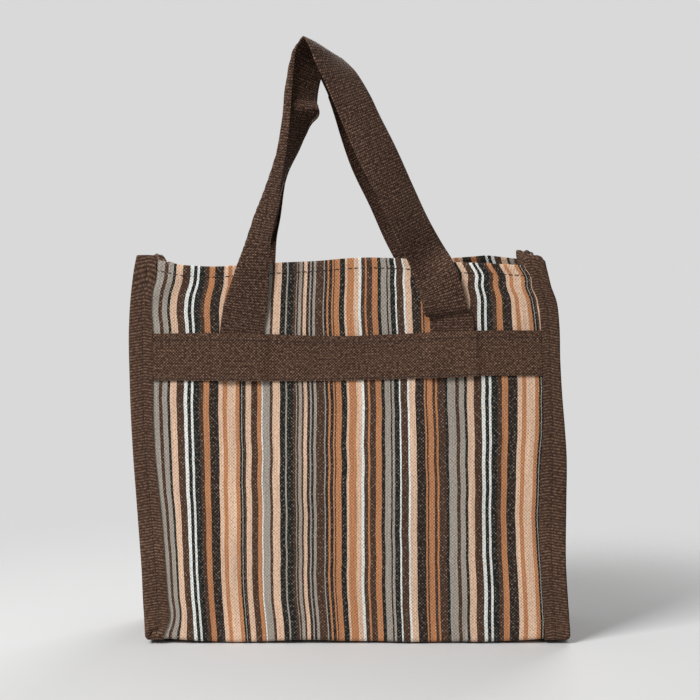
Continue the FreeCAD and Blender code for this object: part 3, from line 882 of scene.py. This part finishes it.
ALL, NONE = 46.0, -6.0  # the whole width faces forward, or none of it is folded
LOW = 251.0  # height of the webbing's ends, under the band
STATIONS = [
    ((-80.5, tail_y(LOW), LOW), (1, 0, 0), ALL),
    ((-80.5, tail_y(270), 270), (1, 0, 0), ALL),
    ((-80.2, tail_y(FOLD_Z), FOLD_Z), (1, 0, 0), ALL),
    ((-78.6, -56.8, 302), (1, 0, 0), 41),
    ((-77.0, -57.1, 312), (1, 0, 0), 38.2),
    ((-76.0, -57.6, 322), (1, 0, 0), 35.8),
    ((-74.8, -58.4, 340), (1, 0, 0), 31),
    ((-74.0, -59.5, 354), (1, 0.02, 0), 27),
    ((-72.5, -58.5, 377), (0.996, 0.09, 0), 20),
    ((-68.2, -53.5, 399.5), (0.80, 0.60, 0), 17),
    ((-65.2, -49, 421), (0.53, 0.85, 0), 12),
    ((-62.2, -45, 439), (0.44, 0.90, 0), 9),
    ((-58.7, -40, 461.5), (0.56, 0.83, 0), 6.3),
    ((-56.6, -36.7, 478), (0.68, 0.73, -0.06), 5.8),
    ((-55.5, -34.0, 492), (0.83, 0.54, -0.10), 5.2),
    ((-54.9, -32.4, 501.5), (1.0, 0.12, -0.12), 4.7),
    ((-54.3, -31, 511), (0.91, 0.38, -0.20), 4.8),
    ((-53.6, -30, 520), (0.85, 0.44, -0.28), 4.2),
    ((-51.8, -29.5, 540), (0.80, 0.50, -0.32), 2.4),
    ((-49.4, -31, 554), (0.72, 0.58, -0.36), 0.0),
    ((-43.4, -36.5, 564), (0.64, 0.67, -0.38), NONE),
    ((-38.2, -41, 557), (0.68, 0.69, -0.24), NONE),
    ((-32.8, -44.5, 543), (0.72, 0.69, -0.02), NONE),
    ((-21.8, -49, 519), (0.73, 0.63, 0.26), NONE),
    ((-12.0, -52, 496), (0.78, 0.53, 0.32), NONE),
    ((-4.6, -54.5, 478), (0.79, 0.50, 0.36), NONE),
    ((7.6, -58, 450.5), (0.82, 0.43, 0.373), NONE),
    ((27.0, -62.5, 413), (0.76, 0.53, 0.373), NONE),
    ((43.4, -65, 376.5), (0.77, 0.50, 0.39), NONE),
    ((55.4, -60.8, 352), (0.80, 0.40, 0.43), NONE),
    ((63.6, -59.2, 327.5), (0.88, 0.01, 0.47), NONE),
    ((67.0, -60.3, 316), (0.965, 0.05, 0.25), NONE),
    ((68.2, -60.5, 310.5), (0.985, 0.06, 0.17), NONE),
    ((68.8, -59.9, 307.6), (0.99, 0.05, 0.14), NONE),
    ((70.2, -58.2, 306.3), (0.99, 0.03, 0.13), NONE),
    ((72.2, -56.0, 305.9), (0.99, 0.0, 0.12), NONE),
    ((73.4, -54.9, 304.6), (0.995, -0.02, 0.09), NONE),
    ((74.6, -54.9, 300.0), (1, -0.02, 0.04), NONE),
    ((75.0, -55.7, 296.0), (1, -0.01, 0.01), NONE),
    ((75.2, tail_y(FOLD_Z), FOLD_Z), (1, 0, 0), NONE),
    ((75.5, tail_y(270), 270), (1, 0, 0), NONE),
    ((75.5, tail_y(LOW), LOW), (1, 0, 0), NONE),
]
print(f"{len(STATIONS)} stations along a handle")

# %% [markdown]
# A ribbon is laid through the stations row by row.  In each row the webbing starts at its inner edge,
# runs forward-facing for its share, turns through a tight arc and runs on across.

# %% Handle ribbon
ARC = 1.5  # radius of the lengthwise fold
BOW = 1.8  # how far the webbing bows across its width, up where it hangs free
MIDDLE = STRAP_WIDTH / 2


def ribbon_row(edge, run, across, facing, widths):
    """Points of one row, from the inner edge: run is the way the webbing runs here."""
    forward = np.array([-1.0, 0.0, 0.0])
    forward = unit(forward - run * (forward @ run))
    back = np.cross(forward, run)
    angle = math.atan2(across @ back, across @ forward)
    angle = math.pi if angle < -math.pi / 2 else max(angle, 0.0)
    a = np.clip((widths - facing) / ARC, 0, angle)[:, None]
    rest = np.maximum(widths - facing - ARC * angle, 0.0)[:, None]
    points = np.minimum(widths, facing)[:, None] * forward
    points = points + ARC * (np.sin(a) * forward + (1 - np.cos(a)) * back) + rest * across
    return points - points[0] + edge


def handle_grid(side, sway):
    """Rows of a handle: side is -1 for the front and 1 for the back, and sway moves the right leg in."""
    edges, acrosses = (np.array([s[k] for s in STATIONS], float) for k in (0, 1))
    place = along(edges)
    rows = np.concatenate([steps(a, b, 2.2)[:-1] for a, b in zip(place[:-1], place[1:])] + [place[-1:]])
    edge, across = (np.stack([follow(list(zip(place, known[:, k])), rows) for k in range(3)], -1)
                    for known in (edges, acrosses))
    across = unit(across)
    facing = follow([(at, s[2]) for at, s in zip(place, STATIONS)], rows)
    run = unit(np.gradient(edge, axis=0))
    widths = np.linspace(0, STRAP_WIDTH, 25)
    grid = np.array([ribbon_row(*row, widths) for row in zip(edge, run, across, facing)])
    bow = BOW * smooth((grid[..., 2] - 356) / 60) * (facing < 0)[:, None] * (1 - (widths / MIDDLE - 1) ** 2)
    grid = grid + np.cross(run, across)[:, None] * bow[..., None]
    if side > 0:
        grid[..., 1] *= -1
        height = grid[..., 2]
        swung = smooth((height - 300) / 60) * (1 - smooth((height - 420) / 120)) * (grid[..., 0] > -20)
        grid[..., 0] -= sway * swung
    return grid, widths, along(grid[:, 12])


def handle(name, side, sway=0.0):
    grid, widths, length = handle_grid(side, sway)
    print(f"{name}: webbing {STRAP_WIDTH:.0f} x {length[-1]:.0f} mm")
    return cloth(name, [(grid, widths - MIDDLE, length)], STRAP, webbing), length[-1]


front_handle, front_length = handle("front_handle_webbing", -1)
back_handle, back_length = handle("back_handle_webbing", 1, 9.0)

# %% [markdown]
# Stitches are the same small thing hundreds of times over, which is what Geometry Nodes are for.  The
# tree takes lines of sewing, cuts them at the stitch pitch and sets a short rounded thread at each cut,
# turned along the line.  Its sizes are named inputs, and a fixed seed tilts each stitch a little, as a
# machine does.

# %% Stitches: the tree's named inputs
STITCH, GAP, THREAD_WIDTH = 4.6, 1.3, 0.9  # mm
BEAD_SEGMENTS, BEAD_RINGS = 8, 6           # a stitch is small, so a few faces are enough
SIZES = [("Line", "Geometry", None), ("Stitch Length", "Float", STITCH * MM), ("Gap", "Float", GAP * MM),
         ("Thread Width", "Float", THREAD_WIDTH * MM), ("Tilt", "Float", 0.06), ("Seed", "Int", 7),
         ("Thread", "Material", None)]
sewing = bpy.data.node_groups.new("stitches", "GeometryNodeTree")
stitch_inputs = {}
for name, kind, value in SIZES:
    socket = sewing.interface.new_socket(name, in_out="INPUT", socket_type="NodeSocket" + kind)
    if value is not None:
        socket.default_value = value
    stitch_inputs[name] = socket.identifier
sewing.interface.new_socket("Stitches", in_out="OUTPUT", socket_type="NodeSocketGeometry")
print("a row of stitches is set by", ", ".join(stitch_inputs))

# %% Stitches: from a line to thread
given = add(sewing, "NodeGroupInput").outputs
curve = add(sewing, "GeometryNodeMeshToCurve", Mesh=given["Line"])
pitch = add(sewing, MATH, PLUS, _0=given["Stitch Length"], _1=given["Gap"])
cut = add(sewing, "GeometryNodeResampleCurve", {"mode": "LENGTH"}, Curve=curve, Length=pitch)
bead = add(sewing, "GeometryNodeMeshUVSphere", Segments=BEAD_SEGMENTS, Rings=BEAD_RINGS, Radius=0.5)
size = add(sewing, "ShaderNodeCombineXYZ", X=given["Thread Width"], Y=given["Thread Width"],
           Z=given["Stitch Length"])
shaped = add(sewing, "GeometryNodeTransform", Geometry=bead, Scale=size)
rounded_bead = add(sewing, "GeometryNodeSetShadeSmooth", Geometry=shaped)
aim = add(sewing, "FunctionNodeAlignRotationToVector", {"axis": "Z"},
          Vector=add(sewing, "GeometryNodeInputTangent"))
low = add(sewing, MATH, TIMES, _0=given["Tilt"], _1=-1.0)
wobble = add(sewing, "FunctionNodeRandomValue", {"data_type": "FLOAT"}, _2=low, _3=given["Tilt"],
             Seed=given["Seed"])
tilt = add(sewing, "ShaderNodeCombineXYZ", X=wobble, Y=wobble)
turned = add(sewing, "FunctionNodeRotateRotation", {"rotation_space": "LOCAL"}, _0=aim, _1=tilt)
row = add(sewing, "GeometryNodeInstanceOnPoints", Points=cut, Instance=rounded_bead, Rotation=turned)
real = add(sewing, "GeometryNodeRealizeInstances", Geometry=row)
painted = add(sewing, "GeometryNodeSetMaterial", Geometry=real, Material=given["Thread"])
add(sewing, "NodeGroupOutput", _0=painted)
print(f"the stitch tree has {len(sewing.nodes)} nodes")

# %% [markdown]
# The lines of sewing lie on the settled cloth: 9 mm below the rims, along both edges of the bands, and
# down the side strips, 9 mm from the seam.  Each group of lines is a small mesh of edges that the tree
# turns into thread; the result is kept as plain mesh.

# %% Lines of sewing
STITCH_PROUD = 0.12  # a stitch's middle lies this far above the cloth
STRIP_GROOVE = 0.45


def stitches(name, lines, seed):
    """One object of stitches along several lines of points, in millimetres."""
    verts, edges = [], []
    for line in lines:
        start = len(verts)
        verts += (np.asarray(line) * MM).tolist()
        edges += [(start + i, start + i + 1) for i in range(len(line) - 1)]
    mesh = bpy.data.meshes.new(name)
    mesh.from_pydata(verts, edges, [])
    piece = put(name, mesh)
    modifier = piece.modifiers.new("stitches", "NODES")
    modifier.node_group = sewing
    modifier[stitch_inputs["Seed"]] = seed
    modifier[stitch_inputs["Thread"]] = thread
    made = apply_modifiers(piece)
    print(f"{name}: {len(made.polygons) // (BEAD_SEGMENTS * BEAD_RINGS)} stitches")
    return piece


def face_line(side, x, z, proud):
    """Points of a line that stands this proud of a face."""
    return settle(x, side * (half_depth(z) + proud), z)


rim_lines = [face_line(side, steps(-180.5, 180.5, 3.0), HEIGHT - 9.0, STITCH_PROUD) for side in (-1, 1)]
band_x = steps(-180.0, 180.0, 2.5)
band_lines = [face_line(side, band_x, z, band_surface(band_x, z) + BAND_CLOTH / 2 + STITCH_PROUD)
              for side in (-1, 1) for z in BAND_STITCHES]
strip_z = steps(8.0, 352.0, 3.0)
strip_lines = [face_line(side, side_x * STITCH_LINE, strip_z, CANVAS + PLY_GAP - STRIP_GROOVE + STITCH_PROUD)
               for side in (-1, 1) for side_x in (-1, 1)]
rim_stitches = stitches("rim_stitches", rim_lines, 11)
band_stitches = stitches("band_stitches", band_lines, 23)
strip_stitches = stitches("strip_stitches", strip_lines, 37)

# %% [markdown]
# Now each piece is parented to the bag's body, and the engineering parts that it stands for are hidden.
# Everything rides on the bag but the handles.  A handle could be cut in two at its fold line, but then it
# would gape when it folds; so it stays one sheet, which is only baked where it stands, and its engineering
# parts are hidden.

# %% Bodies and engineering parts
ON_BAG = {
    front_panel: ("striped_cloth", ("front_panel", "front_rim_hem")),
    back_panel: ("striped_cloth", ("back_panel", "back_rim_hem")),
    base: ("striped_cloth", ("base_panel",)),
    right_gusset: ("brown_canvas", ("right_gusset", "right_rim_hem")),
    left_gusset: ("brown_canvas", ("left_gusset", "left_rim_hem")),
    front_band: ("brown_canvas", ("front_band",)),
    back_band: ("brown_canvas", ("back_band",)),
    base_binding: ("binding_tape", ("base_binding",)),
    rim_stitches: ("thread", ("rim_thread",)),
    band_stitches: ("thread", ("band_thread",)),
    strip_stitches: ("thread", ("strip_thread",)),
}
for node, piece in bindings.items():
    ON_BAG[piece] = ("binding_tape", (node,))
for piece, (slot, nodes) in ON_BAG.items():
    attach(piece, "bag")
    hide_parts(*nodes)
for piece, side, body in ((front_handle, -1, "front_handle"), (back_handle, 1, "back_handle")):
    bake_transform(piece)
    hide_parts(body, body + "_tails")
print(f"{len(ON_BAG)} pieces ride on the bag, and two handles fold from it")

# %% [markdown]
# Every sheet's UV map gives the size of its flat cloth, in metres.

# %% Flat sizes
print("the webbing of the front handle is", round(front_length, 1), "mm long")

# %% [markdown]
# The bag stands on a plain pale floor.  Near the bag the floor takes its shadow; further out it fades
# into a background of the same grey, so no horizon shows.  The background is only what the camera and
# reflections see: the cloth is lit by softer, plain studio light.

# %% Floor
PALE, PAPER = "#D9D9D9", "#D4D4D4"
FLOOR_HALF, FLOOR_LEVEL = 4.0, -0.3 * MM
FADE_FROM, FADE_TO = 0.27, 0.8  # metres from the middle of the bag


def pale_floor():
    mesh = bpy.data.meshes.new("floor")
    corners = [(x * FLOOR_HALF, y * FLOOR_HALF, FLOOR_LEVEL) for x, y in ((-1, -1), (1, -1), (1, 1), (-1, 1))]
    mesh.from_pydata(corners, [], [(0, 1, 2, 3)])
    # Studio paper: matt and even, so it takes a soft shadow and no shine.
    material, tree = empty_material("pale_studio_paper")
    place = add(tree, "ShaderNodeTexCoord")
    distance = add(tree, "ShaderNodeVectorMath", {"operation": "LENGTH"}, _0=place.outputs["Object"])
    fade = add(tree, RANGE, {"interpolation_type": "SMOOTHSTEP"}, Value=distance.outputs["Value"],
               _1=FADE_FROM, _2=FADE_TO)
    paper = add(tree, "ShaderNodeBsdfDiffuse", Color=linear(PAPER))
    clear = add(tree, "ShaderNodeBsdfTransparent")
    both = add(tree, "ShaderNodeMixShader", _0=fade, _1=paper, _2=clear)
    add(tree, "ShaderNodeOutputMaterial", Surface=both)
    mesh.materials.append(material)
    return put("floor", mesh)


floor = pale_floor()
print(f"floor {2 * FLOOR_HALF:.0f} m wide, clear beyond {FADE_TO} m")

# %% Background
ROOM_LIGHT = 0.17
world = bpy.data.worlds.new("studio")
bpy.context.scene.world = world
world.use_nodes = True
sky = world.node_tree
sky.nodes.clear()
ray = add(sky, "ShaderNodeLightPath")
mirrored_or_through = add(sky, MATH, {"operation": "MAXIMUM"}, _0=ray.outputs["Is Glossy Ray"],
                          _1=ray.outputs["Is Transmission Ray"])
seen = add(sky, MATH, {"operation": "MAXIMUM"}, _0=ray.outputs["Is Camera Ray"], _1=mirrored_or_through)
room = add(sky, "ShaderNodeBackground", Color=linear("#FFFFFF"), Strength=ROOM_LIGHT)
backdrop = add(sky, "ShaderNodeBackground", Color=linear(PALE), Strength=1.0)
either = add(sky, "ShaderNodeMixShader", _0=seen, _1=room, _2=backdrop)
add(sky, "ShaderNodeOutputWorld", Surface=either)
print(f"background {PALE}, room light {ROOM_LIGHT}")

# %% [markdown]
# Four soft lamps give the plain light of a product table.  The key stands high on the left and does
# most of the work; a lamp behind the bag lights the floor and the handles' edges; a weak fill on the
# right and a weak lamp above keep the folds from going black.

# %% Studio lamps
LOOK_AT = Vector((0, 0, 0.25))
LAMPS = {"key softbox": ((-1.6, -1.6, 2.1), 1.1, 95), "fill softbox": ((1.6, -2.0, 0.7), 1.4, 3),
         "top softbox": ((0.0, 0.3, 2.2), 1.4, 6), "back softbox": ((0.9, 2.2, 1.6), 1.4, 38)}
for name, (place, size, watts) in LAMPS.items():
    data = bpy.data.lights.new(name, "AREA")
    data.shape = "SQUARE"
    data.size = size
    data.energy = watts
    lamp = put(name, data)
    lamp.location = place
    lamp.rotation_euler = (LOOK_AT - Vector(place)).to_track_quat("-Z", "Y").to_euler()
    print(f"{name}: {watts} W, {size} m square")

# %% [markdown]
# The camera stands about a metre and a half in front, a little above the middle of the bag, looking
# slightly down through a long lens, so that upright lines stay nearly upright.

# %% Camera
TARGET = Vector((0.0, -0.058, 0.2748))
DISTANCE, ELEVATION, LENS = 1.570, math.radians(4.0), 87.27
camera_data = bpy.data.cameras.new("camera")
camera_data.lens = LENS
camera_data.sensor_width = 36.0
camera = put("camera", camera_data)
camera.location = TARGET + Vector((0, -math.cos(ELEVATION), math.sin(ELEVATION))) * DISTANCE
camera.rotation_euler = (math.radians(90) - ELEVATION, 0, 0)
bpy.context.scene.camera = camera
bpy.context.scene.view_settings.view_transform = "Standard"
print(f"camera {DISTANCE} m away, lens {LENS} mm")
